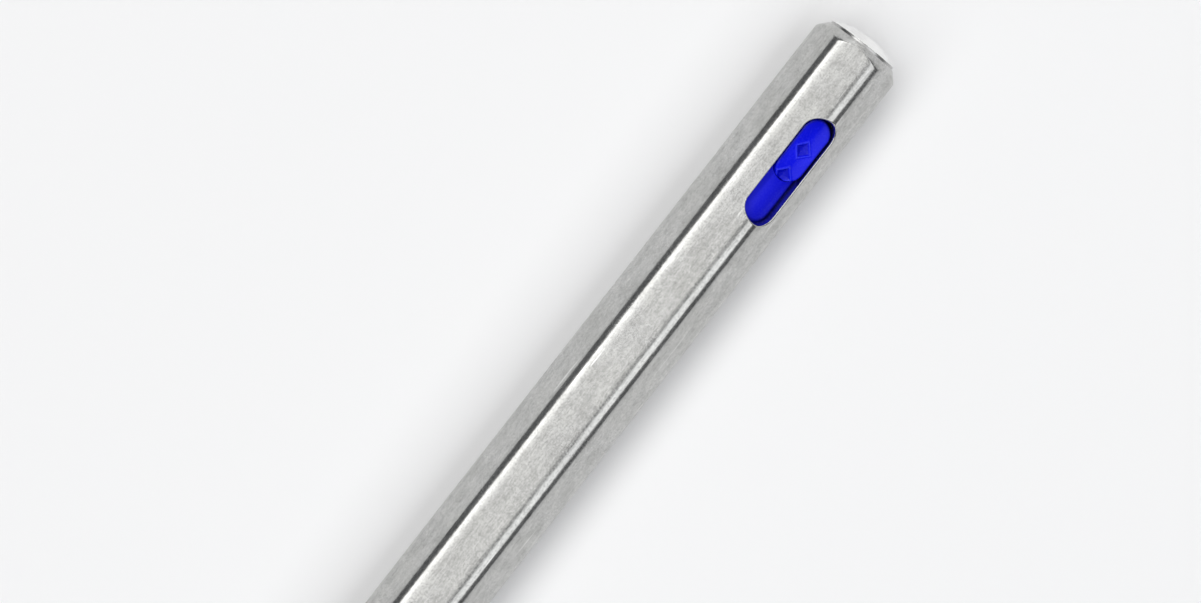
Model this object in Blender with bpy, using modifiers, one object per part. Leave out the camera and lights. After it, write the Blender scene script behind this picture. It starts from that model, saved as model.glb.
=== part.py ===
"""Retractable ballpoint pen with a hexagonal aluminium barrel and a blue side slider.

The pen lies on one flat of its hexagon. World +X runs along the pen towards
the writing tip and +Z points up. The origin is under the middle of the pen,
on the surface it lies on. Everything is modelled in the pen's own frame,
in which local +Z runs from the barrel's rear end (station 0) to the tip,
and local +X is the direction square to the top flat.
"""

import math

import bmesh
import bpy
from mathutils import Matrix, Vector

MM = 0.001

# ---------------------------------------------------------------- dimensions
# stations along the pen and radii, in millimetres
APOTHEM = 5.30            # axis to a flat of the hexagon
CORNER_ROUND = 1.80       # radius on the six long corners
BARREL_LEN = 122.4
BORE_R = 4.10
CAP_H = 1.86              # how far the end cap stands out behind station 0
REAR_LIP = 0.42           # the barrel's turned lip behind station 0

SLOT_ANGLE = -30.0        # the slot sits on the corner beside the top flat
SLOT_START = 9.05
SLOT_END = 24.10
SLOT_HALF = 2.15          # half the slot's width
TRAVEL = 6.0              # slider travel from retracted to writing

SLEEVE_R_OUT = 4.05
SLEEVE_R_IN = 3.55
SLEEVE_Z0, SLEEVE_Z1 = 2.00, 36.0
SLEEVE_SLOT_HALF = 2.40
SLEEVE_SLOT_END = 31.3

CARRIAGE_R = 3.45
RIB_R = 3.98              # the cover strip that closes the slot from inside
RIB_HALF = 2.30
CARRIAGE_Z0, CARRIAGE_Z1 = 2.40, 27.0
RIB_Z1 = 24.8
POCKET_Z0, POCKET_Z1 = 9.15, 18.10
POCKET_HALF = 2.10
POCKET_FLOOR = 1.60

BUTTON_Z0, BUTTON_Z1 = 9.35, 17.95
BUTTON_HALF = 2.00
BUTTON_BOTTOM = 3.00
BUTTON_RIM = 4.45         # height of the button's long edges above the axis
BUTTON_DISH = 4.15        # height of the hollow between them
PIVOT_X, PIVOT_Z = 2.35, 16.60
PIN_R = 0.40
PIN_HOLE_R = 0.45

SPRING_WIRE = 0.40
SPRING_MEAN_R = 2.25
SPRING_TURNS = 10
SPRING_Z0, SPRING_Z1 = 27.05, 49.00
SEAT_Z0, SEAT_Z1 = 49.05, 52.0

NOSE_FRONT = 138.10       # front of the nose cone
TIP_EXTENDED = NOSE_FRONT + 2.2
TIP_END = TIP_EXTENDED - TRAVEL   # the ball's front when retracted
REFILL_R = 1.50
REFILL_BORE = 1.10
REFILL_Z0, REFILL_Z1 = 21.20, TIP_END - 17.0
HOLDER_Z0 = TIP_END - 22.9
BALL_R = 0.36

INSERT_Z0, INSERT_Z1 = 114.0, 121.9
WASHER_Z0, WASHER_Z1 = 122.45, 122.75
NOSE_Z0 = 122.80

LENGTH = CAP_H + NOSE_FRONT
REAR_X = -LENGTH / 2 + CAP_H      # world X of station 0

# ---------------------------------------------------------------- colours
MATERIALS = {
    "barrel_aluminium": ((0.62, 0.62, 0.61), 0.38, 1.0),
    "cap_metal": ((0.70, 0.70, 0.69), 0.22, 1.0),
    "ring_dark": ((0.05, 0.05, 0.055), 0.55, 0.0),
    "slider_blue": ((0.012, 0.022, 0.62), 0.30, 0.0),
    "button_blue": ((0.012, 0.024, 0.66), 0.28, 0.0),
    "sleeve_white": ((0.82, 0.82, 0.80), 0.45, 0.0),
    "spring_steel": ((0.55, 0.56, 0.57), 0.28, 1.0),
    "leaf_steel": ((0.50, 0.50, 0.51), 0.30, 1.0),
    "pin_steel": ((0.58, 0.58, 0.59), 0.25, 1.0),
    "seat_plastic": ((0.78, 0.78, 0.76), 0.50, 0.0),
    "buffer_rubber": ((0.03, 0.03, 0.032), 0.80, 0.0),
    "grommet_rubber": ((0.035, 0.035, 0.04), 0.80, 0.0),
    "refill_charcoal": ((0.028, 0.029, 0.033), 0.42, 0.0),
    "ink_blue": ((0.005, 0.008, 0.10), 0.20, 0.0),
    "follower_grease": ((0.55, 0.52, 0.38), 0.25, 0.0),
    "holder_blue": ((0.018, 0.008, 0.50), 0.32, 0.0),
    "tip_brass": ((0.72, 0.50, 0.20), 0.22, 1.0),
    "ball_carbide": ((0.22, 0.22, 0.23), 0.10, 1.0),
    "insert_brass": ((0.70, 0.50, 0.22), 0.35, 1.0),
    "washer_dark": ((0.045, 0.045, 0.05), 0.60, 0.0),
    "nose_aluminium": ((0.66, 0.66, 0.65), 0.28, 1.0),
}

# ---------------------------------------------------------------- clean start
for old in list(bpy.data.objects):
    bpy.data.objects.remove(old, do_unlink=True)

PARTS = bpy.data.collections.new("retractable_ballpoint_pen")
CUTTERS = bpy.data.collections.new("cutters")
for coll in (PARTS, CUTTERS):
    bpy.context.scene.collection.children.link(coll)


def material(name):
    found = bpy.data.materials.get(name)
    if found:
        return found
    colour, rough, metal = MATERIALS[name]
    made = bpy.data.materials.new(name)
    made.use_nodes = True
    shader = made.node_tree.nodes["Principled BSDF"]
    shader.inputs["Base Color"].default_value = (*colour, 1.0)
    shader.inputs["Roughness"].default_value = rough
    shader.inputs["Metallic"].default_value = metal
    made.diffuse_color = (*colour, 1.0)
    return made


def empty(name, parent, location=(0, 0, 0), rotation=(0, 0, 0)):
    made = bpy.data.objects.new(name, None)
    made.empty_display_size = 3 * MM
    PARTS.objects.link(made)
    made.parent = parent
    made.location = [c * MM for c in location]
    made.rotation_euler = rotation
    return made


# the pen's frame: local Z along the barrel, local X up
axis = bpy.data.objects.new("pen_axis", None)
PARTS.objects.link(axis)
axis.location = (REAR_X * MM, 0, APOTHEM * MM)
axis.rotation_euler = Matrix(((0, 0, 1), (0, -1, 0), (1, 0, 0))).to_euler()

# the slot's frame: local X out through the slot
slot_frame = empty("slot_frame", axis, rotation=(0, 0, math.radians(SLOT_ANGLE)))
# moving frames, each on its joint
slider_frame = empty("slider_joint", slot_frame)
button_frame = empty("button_joint", slider_frame, (PIVOT_X, 0, PIVOT_Z))
refill_frame = empty("refill_frame", axis)
ball_frame = empty("ball_joint", refill_frame, (0, 0, TIP_END - BALL_R))
nose_frame = empty("nose_joint", axis)


def put(name, mesh, mat, parent, offset=(0, 0, 0), smooth=True):
    """A part whose mesh is in millimetres in its parent's frame, less the offset of that frame."""
    mesh.transform(Matrix.Translation([-c for c in offset]))
    mesh.transform(Matrix.Scale(MM, 4))
    made = bpy.data.objects.new(name, mesh)
    PARTS.objects.link(made)
    made.parent = parent
    made.data.materials.append(material(mat))
    if smooth:
        for p in mesh.polygons:
            p.use_smooth = True
        mesh.set_sharp_from_angle(angle=math.radians(35))
    return made


def cutter(name, mesh, parent, offset=(0, 0, 0)):
    mesh.transform(Matrix.Translation([-c for c in offset]))
    mesh.transform(Matrix.Scale(MM, 4))
    made = bpy.data.objects.new(name, mesh)
    CUTTERS.objects.link(made)
    made.parent = parent
    made.hide_render = True
    made.display_type = "WIRE"
    return made


def boolean(target, other, operation="DIFFERENCE"):
    m = target.modifiers.new(f"{operation.lower()}_{other.name}", "BOOLEAN")
    m.operation = operation
    m.object = other
    m.solver = "EXACT"
    return m


def to_mesh(bm, name):
    bmesh.ops.recalc_face_normals(bm, faces=bm.faces)
    mesh = bpy.data.meshes.new(name)
    bm.to_mesh(mesh)
    bm.free()
    return mesh


def rod(name, r, z0, z1, segments=48, r2=None):
    """A cylinder or cone along local Z."""
    bm = bmesh.new()
    bmesh.ops.create_cone(
        bm, cap_ends=True, segments=segments, radius1=r,
        radius2=r if r2 is None else r2, depth=z1 - z0,
        matrix=Matrix.Translation((0, 0, (z0 + z1) / 2)),
    )
    return to_mesh(bm, name)


def block(name, x, y, z):
    """A box between the limits given on each axis."""
    bm = bmesh.new()
    size = Vector((x[1] - x[0], y[1] - y[0], z[1] - z[0]))
    centre = Vector((sum(x) / 2, sum(y) / 2, sum(z) / 2))
    bmesh.ops.create_cube(
        bm, size=1.0, matrix=Matrix.Translation(centre) @ Matrix.Diagonal((*size, 1.0))
    )
    return to_mesh(bm, name)


def cross_rod(name, r, x, z, half, segments=24):
    """A cylinder along local Y."""
    bm = bmesh.new()
    turn = Matrix.Translation((x, 0, z)) @ Matrix.Rotation(math.pi / 2, 4, "X")
    bmesh.ops.create_cone(
        bm, cap_ends=True, segments=segments, radius1=r, radius2=r, depth=2 * half, matrix=turn
    )
    return to_mesh(bm, name)


def stadium(name, half, z0, z1, x0, x1, segments=12):
    """A slot-shaped prism: straight sides and full round ends, standing along local X."""
    bm = bmesh.new()
    points = []
    for n in range(segments + 1):
        a = math.pi * n / segments
        points.append((half * math.cos(a), z1 - half + half * math.sin(a)))
    for n in range(segments + 1):
        a = math.pi + math.pi * n / segments
        points.append((half * math.cos(a), z0 + half + half * math.sin(a)))
    ring = [bm.verts.new((x0, y, z)) for y, z in points]
    base = bm.faces.new(ring)
    grown = bmesh.ops.extrude_face_region(bm, geom=[base])
    bmesh.ops.translate(
        bm, vec=(x1 - x0, 0, 0),
        verts=[g for g in grown["geom"] if isinstance(g, bmesh.types.BMVert)],
    )
    return to_mesh(bm, name)


def turned(name, profile, mat, parent, segments=48, closed=False, offset=0.0):
    """A turned piece. The profile is (radius, station) and runs from the front end down the
    outside to the rear end; a bored piece's profile is a closed loop that comes back up the bore."""
    mesh = bpy.data.meshes.new(name)
    verts = [(r * MM, 0, (z - offset) * MM) for r, z in profile]
    edges = [(n, n + 1) for n in range(len(verts) - 1)]
    if closed:
        edges.append((len(verts) - 1, 0))
    mesh.from_pydata(verts, edges, [])
    made = bpy.data.objects.new(name, mesh)
    PARTS.objects.link(made)
    made.parent = parent
    mesh.materials.append(material(mat))
    screw = made.modifiers.new("turn", "SCREW")
    screw.axis = "Z"
    screw.angle = 2 * math.pi
    screw.steps = screw.render_steps = segments
    screw.use_merge_vertices = True
    screw.merge_threshold = 0.000001
    screw.use_smooth_shade = True
    return made


def arc(cx, cz, r, a0, a1, steps):
    """Points of a turned profile on an arc, angles in degrees from the radial direction."""
    return [
        (cx + r * math.cos(math.radians(a0 + (a1 - a0) * n / steps)),
         cz + r * math.sin(math.radians(a0 + (a1 - a0) * n / steps)))
        for n in range(steps + 1)
    ]


# ================================================================ barrel
bm = bmesh.new()
corner_r = APOTHEM / math.cos(math.radians(30))
bmesh.ops.create_cone(
    bm, cap_ends=True, segments=6, radius1=corner_r, radius2=corner_r, depth=BARREL_LEN + REAR_LIP,
    matrix=Matrix.Translation((0, 0, (BARREL_LEN - REAR_LIP) / 2)) @ Matrix.Rotation(math.radians(30), 4, "Z"),
)
# the hexagon's first corner lies at 30 degrees, so a flat faces local +X
bm.edges.ensure_lookup_table()
first = min(math.degrees(math.atan2(v.co.y, v.co.x)) % 60 for v in bm.verts)
if abs(first - 30) > 1:
    bmesh.ops.rotate(bm, cent=(0, 0, 0), matrix=Matrix.Rotation(math.radians(30 - first), 3, "Z"), verts=bm.verts)
long_edges = [e for e in bm.edges if abs(e.verts[0].co.z - e.verts[1].co.z) > 1]
bmesh.ops.bevel(
    bm, geom=long_edges, offset=CORNER_ROUND * math.tan(math.radians(30)), offset_type="OFFSET",
    segments=6, profile=0.5, affect="EDGES",
)
barrel = put("barrel", to_mesh(bm, "barrel"), "barrel_aluminium", axis)

# both ends are turned after the hexagon is drawn, which rounds the corners more than the flats
ends = turned(
    "barrel_end_form",
    [(0, BARREL_LEN + 0.001), (4.85, BARREL_LEN + 0.001), (5.05, BARREL_LEN - 0.10), (5.30, BARREL_LEN - 0.45),
     (5.62, BARREL_LEN - 1.10), (5.95, BARREL_LEN - 2.00), (6.60, BARREL_LEN - 4.20),
     (6.60, 3.00), (6.20, 1.70), (5.90, 0.98), (5.62, 0.52), (5.34, 0.20), (5.14, 0.0), (4.93, -0.22),
     (4.72, -REAR_LIP - 0.001), (0, -REAR_LIP - 0.001)],
    "barrel_aluminium", axis, segments=72,
)
PARTS.objects.unlink(ends)
CUTTERS.objects.link(ends)
ends.hide_render = True
ends.display_type = "WIRE"
boolean(barrel, ends, "INTERSECT")
boolean(barrel, cutter("barrel_bore_cut", rod("barrel_bore_cut", BORE_R, -2, BARREL_LEN + 2, 64), axis))
boolean(barrel, cutter("slot_cut", stadium("slot_cut", SLOT_HALF, SLOT_START, SLOT_END, 1.5, 8.0, 16), slot_frame))

# ================================================================ rear end
turned(
    "rear_cap",
    [(0, 1.90), (3.85, 1.90), (4.03, 1.72), (4.03, -0.64), (4.60, -0.64), (4.57, -0.72), (4.42, -0.81), (3.60, -1.15),
     (2.95, -1.44), (2.30, -1.68), (1.50, -1.82), (0.80, -CAP_H), (0, -CAP_H)],
    "cap_metal", axis, segments=48,
)
turned(
    "cap_ring",
    [(4.50, -0.46), (4.56, -0.50), (4.56, -0.57), (4.50, -0.61), (4.08, -0.61), (4.08, -0.46)],
    "ring_dark", axis, segments=48, closed=True,
)
turned(
    "slider_buffer",
    [(0, 2.36), (3.10, 2.36), (3.30, 2.26), (3.30, 1.95), (0, 1.95)],
    "buffer_rubber", axis, segments=32,
)

# ================================================================ guide sleeve
sleeve = turned(
    "guide_sleeve",
    [(SLEEVE_R_OUT - 0.15, SLEEVE_Z1), (SLEEVE_R_OUT, SLEEVE_Z1 - 0.15), (SLEEVE_R_OUT, SLEEVE_Z0),
     (SLEEVE_R_IN, SLEEVE_Z0), (SLEEVE_R_IN, SLEEVE_Z1)],
    "sleeve_white", slot_frame, segments=48, closed=True,
)
boolean(sleeve, cutter(
    "sleeve_slot_cut",
    block("sleeve_slot_cut", (1.0, 6.0), (-SLEEVE_SLOT_HALF, SLEEVE_SLOT_HALF), (SLEEVE_Z0 - 1, SLEEVE_SLOT_END)),
    slot_frame,
))

# ================================================================ slider carriage
carriage = put("slider_carriage", rod("slider_carriage", CARRIAGE_R, CARRIAGE_Z0, CARRIAGE_Z1, 48), "slider_blue", slider_frame)
strip = cutter("strip_round", rod("strip_round", RIB_R, CARRIAGE_Z0, RIB_Z1, 72), slider_frame)
boolean(strip, cutter("strip_width", block("strip_width", (0.5, 6.0), (-RIB_HALF, RIB_HALF), (0, 40)), slider_frame), "INTERSECT")
boolean(carriage, strip, "UNION")
boolean(carriage, cutter(
    "button_pocket",
    stadium("button_pocket", POCKET_HALF, POCKET_Z0, POCKET_Z1, POCKET_FLOOR, 6.0, 16), slider_frame))
boolean(carriage, cutter(
    "ear_pocket", block("ear_pocket", (2.46, 6.0), (-4.4, 4.4), (POCKET_Z0, 11.60)), slider_frame))
boolean(carriage, cutter(
    "tail_relief", block("tail_relief", (-5.0, POCKET_FLOOR), (-5.0, 5.0), (1.0, 8.0)), slider_frame))
boolean(carriage, cutter(
    "refill_socket_cut", rod("refill_socket_cut", 1.95, 20.8, 30, 32), slider_frame))
boolean(carriage, cutter(
    "pin_bore_cut", cross_rod("pin_bore_cut", 0.42, PIVOT_X, PIVOT_Z, 5), slider_frame))

put("pivot_pin", cross_rod("pivot_pin", PIN_R, PIVOT_X, PIVOT_Z, 2.44), "pin_steel", slider_frame)

turned(
    "refill_grommet",
    [(1.88, 26.85), (1.88, 21.6), (1.56, 21.6), (1.56, 26.85)],
    "grommet_rubber", refill_frame, segments=32, closed=True,
)

# ================================================================ thumb button
DIAMONDS = (13.60, 17.35)      # stations of the two diamond-shaped hollows
DIAMOND_HALF_Z, DIAMOND_HALF_Y = 1.12, 1.15


def button_height(y, z):
    """Height of the button's top above the pen's axis."""
    h = BUTTON_DISH + (BUTTON_RIM - BUTTON_DISH) * (abs(y) / BUTTON_HALF) ** 1.6
    rear = min(max((12.4 - z) / 2.6, 0.0), 1.0)
    h += 0.15 * rear * rear * (3 - 2 * rear)
    front = min(max((z - 16.4) / 1.55, 0.0), 1.0)
    h -= 0.22 * front * front
    for zc in DIAMONDS:
        u = abs(z - zc) / DIAMOND_HALF_Z + abs(y) / DIAMOND_HALF_Y
        if u < 1:
            h -= 0.36 * min(1.0, (1 - u) * 1.5)
        h += 0.10 * math.exp(-(((u - 1.05) / 0.20) ** 2))
    return h


button = put(
    "thumb_button",
    stadium("thumb_button", BUTTON_HALF, BUTTON_Z0, BUTTON_Z1, BUTTON_BOTTOM, 6.6, 14),
    "button_blue", button_frame, (PIVOT_X, 0, PIVOT_Z),
)
# the top is shaped by a form whose underside is the thumb surface
bm = bmesh.new()
NY, NZ = 16, 44
bmesh.ops.create_grid(bm, x_segments=NY, y_segments=NZ, size=0.5)
for v in bm.verts:
    y = v.co.x * 4.6
    z = (BUTTON_Z0 + BUTTON_Z1) / 2 + v.co.y * (BUTTON_Z1 - BUTTON_Z0 + 0.6)
    v.co = (button_height(y, z), y, z)
grown = bmesh.ops.extrude_face_region(bm, geom=list(bm.faces))
for g in grown["geom"]:
    if isinstance(g, bmesh.types.BMVert):
        g.co.x = 8.0
top_form = cutter("button_top_form", to_mesh(bm, "button_top_form"), button_frame, (PIVOT_X, 0, PIVOT_Z))
boolean(button, top_form)
leg = cutter("button_leg", block("button_leg", (1.78, 3.4), (-1.2, 1.2), (15.75, 17.45)), button_frame, (PIVOT_X, 0, PIVOT_Z))
boolean(button, leg, "UNION")
ears = cutter("button_ears", block("button_ears", (BUTTON_BOTTOM, 3.28), (-2.32, 2.32), (10.2, 11.3)), button_frame, (PIVOT_X, 0, PIVOT_Z))
boolean(button, ears, "UNION")
boolean(button, cutter("leg_bore_cut", cross_rod("leg_bore_cut", PIN_HOLE_R, PIVOT_X, PIVOT_Z, 5), button_frame, (PIVOT_X, 0, PIVOT_Z)))

# leaf spring under the button: flat on the pocket's floor, then bowed up to the button's underside
bm = bmesh.new()
line = []
STEPS = 14
for n in range(STEPS + 1):
    t = n / STEPS
    z = 15.2 - 5.4 * t
    lift = 0.0 if t < 0.25 else 1.10 * math.sin((t - 0.25) / 0.75 * math.pi / 2) ** 2
    line.append((POCKET_FLOOR + 0.12 + lift, z))
verts = [bm.verts.new((x, -0.8, z)) for x, z in line]
edges = [bm.edges.new((a, b)) for a, b in zip(verts, verts[1:])]
grown = bmesh.ops.extrude_edge_only(bm, edges=edges)
bmesh.ops.translate(bm, vec=(0, 1.6, 0), verts=[g for g in grown["geom"] if isinstance(g, bmesh.types.BMVert)])
leaf = put("leaf_spring", to_mesh(bm, "leaf_spring"), "leaf_steel", slider_frame)
thick = leaf.modifiers.new("thickness", "SOLIDIFY")
thick.thickness = 0.14 * MM
thick.offset = 0.0
thick.use_even_offset = True

# ================================================================ return spring
curve = bpy.data.curves.new("return_spring_path", "CURVE")
curve.dimensions = "3D"
spline = curve.splines.new("POLY")
PER_TURN = 12
count = SPRING_TURNS * PER_TURN + 1
spline.points.add(count - 1)
free = SPRING_Z1 - SPRING_Z0 - SPRING_WIRE - 0.06
for n in range(count):
    t = n / (count - 1)
    turns = t * SPRING_TURNS
    # the first and last turns are closed up, as on a ground spring
    s = min(max((turns - 0.9) / (SPRING_TURNS - 1.8), 0.0), 1.0)
    dead = 0.46 * (min(turns, 0.9) / 0.9 + max(turns - (SPRING_TURNS - 0.9), 0.0) / 0.9)
    z = SPRING_Z0 + 0.03 + SPRING_WIRE / 2 + dead + s * (free - 0.92)
    a = 2 * math.pi * turns
    spline.points[n].co = (SPRING_MEAN_R * math.cos(a) * MM, SPRING_MEAN_R * math.sin(a) * MM, z * MM, 1)
curve.bevel_depth = SPRING_WIRE / 2 * MM
curve.bevel_resolution = 1
curve.use_fill_caps = True
spring = bpy.data.objects.new("return_spring", curve)
PARTS.objects.link(spring)
spring.parent = axis
curve.materials.append(material("spring_steel"))

turned(
    "spring_seat",
    [(3.85, SEAT_Z1), (4.05, SEAT_Z1 - 0.2), (4.05, SEAT_Z0 + 0.2), (3.85, SEAT_Z0), (1.75, SEAT_Z0), (1.75, SEAT_Z1)],
    "seat_plastic", axis, segments=48, closed=True,
)

# ================================================================ refill
turned(
    "refill_tube",
    [(REFILL_R, REFILL_Z1), (REFILL_R, REFILL_Z0), (REFILL_BORE, REFILL_Z0), (REFILL_BORE, REFILL_Z1)],
    "refill_charcoal", refill_frame, segments=32, closed=True,
)
turned(
    "ink_column",
    [(0, REFILL_Z1 - 0.1), (1.05, REFILL_Z1 - 0.1), (1.05, 52.0), (0, 52.0)],
    "ink_blue", refill_frame, segments=24,
)
turned(
    "ink_follower",
    [(0, 51.9), (1.05, 51.9), (1.05, 47.5), (0, 47.5)],
    "follower_grease", refill_frame, segments=24,
)

T = TIP_END
# a sleeve over the tube's end, then a bell with a shoulder, which centres the refill in the nose
turned(
    "tip_holder",
    [(1.30, T - 3.20), (1.45, T - 3.36), (1.72, T - 4.15), (1.89, T - 5.10), (2.16, T - 6.30), (2.43, T - 7.47),
     (2.62, T - 8.90), (2.68, T - 10.20), (2.62, T - 10.80), (2.46, T - 11.27), (2.11, T - 11.40),
     (2.11, HOLDER_Z0 + 0.15), (1.96, HOLDER_Z0), (1.56, HOLDER_Z0), (1.56, REFILL_Z1 + 0.1),
     (0.60, REFILL_Z1 + 0.7), (0.60, T - 6.90), (0.85, T - 6.75), (0.85, T - 3.20)],
    "holder_blue", refill_frame, segments=32, closed=True,
)

turned(
    "brass_tip",
    [(0.375, T - 0.25), (0.46, T - 0.25), (0.50, T - 0.42), (0.68, T - 1.30), (0.95, T - 2.30), (0.95, T - 3.14),
     (0.80, T - 3.14), (0.80, T - 6.60), (0.25, T - 6.60), (0.25, T - 1.10), (0.42, T - 0.82), (0.42, T - 0.42)],
    "tip_brass", refill_frame, segments=24, closed=True,
)
bm = bmesh.new()
bmesh.ops.create_uvsphere(bm, u_segments=16, v_segments=10, radius=BALL_R)
ball = put("tip_ball", to_mesh(bm, "tip_ball"), "ball_carbide", ball_frame)

# ================================================================ front end
turned(
    "thread_insert",
    [(4.05, INSERT_Z1), (4.05, INSERT_Z0), (3.55, INSERT_Z0), (3.55, INSERT_Z1)],
    "insert_brass", axis, segments=48, closed=True,
)
turned(
    "nose_washer",
    [(4.62, WASHER_Z1), (4.72, WASHER_Z1 - 0.1), (4.72, WASHER_Z0 + 0.1), (4.62, WASHER_Z0), (3.60, WASHER_Z0), (3.60, WASHER_Z1)],
    "washer_dark", nose_frame, segments=48, closed=True,
)
F = NOSE_FRONT
turned(
    "nose_cone",
    [(1.15, F - 0.08), (1.23, F), (1.48, F), (1.68, F - 0.10), (1.82, F - 0.34), (1.95, F - 1.00),
     (4.80, F - 13.35), (4.92, F - 13.75), (4.95, F - 14.10), (4.95, NOSE_Z0 + 0.20), (4.75, NOSE_Z0),
     (3.45, NOSE_Z0), (3.45, NOSE_Z0 - 6.10), (3.25, NOSE_Z0 - 6.30), (2.95, NOSE_Z0 - 6.30), (2.95, F - 6.70),
     (2.31, F - 4.10), (1.87, F - 1.95), (1.60, F - 0.90), (1.15, F - 0.75)],
    "nose_aluminium", nose_frame, segments=48, closed=True,
)

bpy.context.view_layer.update()
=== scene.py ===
import math

import bmesh
import bpy
import numpy as np
from mathutils import Matrix, Vector


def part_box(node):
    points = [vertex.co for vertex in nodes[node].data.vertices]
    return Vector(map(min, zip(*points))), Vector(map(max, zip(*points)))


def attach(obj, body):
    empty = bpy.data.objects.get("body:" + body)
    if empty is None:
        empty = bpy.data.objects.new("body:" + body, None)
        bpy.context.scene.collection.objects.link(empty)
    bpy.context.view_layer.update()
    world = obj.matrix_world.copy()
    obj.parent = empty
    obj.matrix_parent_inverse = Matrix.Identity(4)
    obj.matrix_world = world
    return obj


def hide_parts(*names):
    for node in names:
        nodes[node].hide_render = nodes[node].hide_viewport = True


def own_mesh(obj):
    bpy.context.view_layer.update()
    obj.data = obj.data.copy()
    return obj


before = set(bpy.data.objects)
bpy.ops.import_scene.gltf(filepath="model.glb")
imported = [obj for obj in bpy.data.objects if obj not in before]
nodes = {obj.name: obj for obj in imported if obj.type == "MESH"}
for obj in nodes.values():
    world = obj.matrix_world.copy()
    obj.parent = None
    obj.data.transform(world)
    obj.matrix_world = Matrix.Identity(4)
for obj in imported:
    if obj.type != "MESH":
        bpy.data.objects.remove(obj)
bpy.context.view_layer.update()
MM = 0.001

# ------------------------------------------------------------------ the pen's frame
# station 0 lies a lip's length in front of the barrel's rear end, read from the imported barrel
BX0, BX1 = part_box("barrel")
REAR_LIP = 0.42
REAR_X = BX0.x / MM + REAR_LIP
AXIS_Z = 5.30
BARREL_LEN = BX1.x / MM - REAR_X
APOTHEM = 5.2996
CORNER_ROUND = 1.80
BORE_R = 4.10
CAP_H = 1.86
SLOT_ANGLE = math.radians(30.0)      # from straight up towards +Y
SLOT_START, SLOT_END, SLOT_HALF = 9.05, 24.10, 2.15
NOSE_FRONT = 138.10
TRAVEL = 6.0
TIP_END = NOSE_FRONT + 2.2 - TRAVEL
PIVOT_X, PIVOT_Z = 2.35, 16.60

# pen frame to world: local Z along +X, local X up, local Y towards -Y
PEN = Matrix(((0, 0, MM, REAR_X * MM), (0, -MM, 0, 0), (MM, 0, 0, AXIS_Z * MM), (0, 0, 0, 1)))
SLOTF = PEN @ Matrix.Rotation(-SLOT_ANGLE, 4, "Z")

visual = bpy.data.collections.new("visual_pen")
bpy.context.scene.collection.children.link(visual)
tools = bpy.data.collections.new("shaping_tools")
bpy.context.scene.collection.children.link(tools)


# ------------------------------------------------------------------ mesh helpers
def obj_from_bm(bm, name, space=PEN, coll=None, smooth=38):
    bmesh.ops.recalc_face_normals(bm, faces=bm.faces)
    me = bpy.data.meshes.new(name)
    bm.to_mesh(me)
    bm.free()
    me.transform(space)
    if space.determinant() < 0:
        me.flip_normals()
    ob = bpy.data.objects.new(name, me)
    (coll or visual).objects.link(ob)
    shade(ob, smooth)
    return ob


def shade(ob, angle=38):
    me = ob.data
    me.polygons.foreach_set("use_smooth", [True] * len(me.polygons))
    me.set_sharp_from_angle(angle=math.radians(angle))
    me.update()


def fillet(profile, radii, closed, steps=4):
    """Rounds the corners of a turned profile. radii is one number or {index: radius}."""
    pts = [Vector((r, z)) for r, z in profile]
    n = len(pts)
    out = []
    for i, p in enumerate(pts):
        want = radii.get(i, radii.get("all", 0)) if isinstance(radii, dict) else radii
        if (not closed and i in (0, n - 1)) or want <= 0:
            out.append(p)
            continue
        a, b = pts[(i - 1) % n], pts[(i + 1) % n]
        u, v = (a - p), (b - p)
        la, lb = u.length, v.length
        u.normalize()
        v.normalize()
        cosang = max(-1, min(1, u.dot(v)))
        half = math.acos(cosang) / 2
        if half > math.radians(86):
            out.append(p)
            continue
        t = min(want / math.tan(half), 0.45 * la, 0.45 * lb)
        r = t * math.tan(half)
        centre = p + (u + v).normalized() * (r / math.sin(half))
        s, e = p + u * t, p + v * t
        a0 = math.atan2(*(s - centre).yx)
        a1 = math.atan2(*(e - centre).yx)
        d = (a1 - a0 + math.pi) % (2 * math.pi) - math.pi
        k = max(2, int(round(steps * abs(d) / (math.pi / 2))) + 1)
        for j in range(k + 1):
            ang = a0 + d * j / k
            out.append(centre + Vector((math.cos(ang), math.sin(ang))) * r)
    return [(max(q.x, 0.0), q.y) for q in out]


def turned(name, profile, segs=96, closed=True, space=PEN, smooth=38):
    """A solid of revolution about the pen's axis from (radius, station) points."""
    bm = bmesh.new()
    rings = []
    for r, z in profile:
        if r < 1e-6:
            rings.append([bm.verts.new((0, 0, z))])
        else:
            rings.append([
                bm.verts.new((r * math.cos(2 * math.pi * k / segs), r * math.sin(2 * math.pi * k / segs), z))
                for k in range(segs)
            ])
    pairs = list(zip(rings, rings[1:])) + ([(rings[-1], rings[0])] if closed else [])
    for a, b in pairs:
        for k in range(segs):
            k2 = (k + 1) % segs
            if len(a) == 1 and len(b) == 1:
                continue
            if len(a) == 1:
                bm.faces.new((a[0], b[k2], b[k]))
            elif len(b) == 1:
                bm.faces.new((a[k], a[k2], b[0]))
            else:
                bm.faces.new((a[k], a[k2], b[k2], b[k]))
    return obj_from_bm(bm, name, space, smooth=smooth)


def rod(name, r, z0, z1, segs=96, space=PEN):
    bm = bmesh.new()
    bmesh.ops.create_cone(bm, cap_ends=True, segments=segs, radius1=r, radius2=r, depth=z1 - z0,
                          matrix=Matrix.Translation((0, 0, (z0 + z1) / 2)))
    return obj_from_bm(bm, name, space, tools)


def cross_rod(name, r, x, z, half, segs=48, space=SLOTF, coll=None):
    bm = bmesh.new()
    turn = Matrix.Translation((x, 0, z)) @ Matrix.Rotation(math.pi / 2, 4, "X")
    bmesh.ops.create_cone(bm, cap_ends=True, segments=segs, radius1=r, radius2=r, depth=2 * half, matrix=turn)
    return obj_from_bm(bm, name, space, coll or tools)


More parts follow.
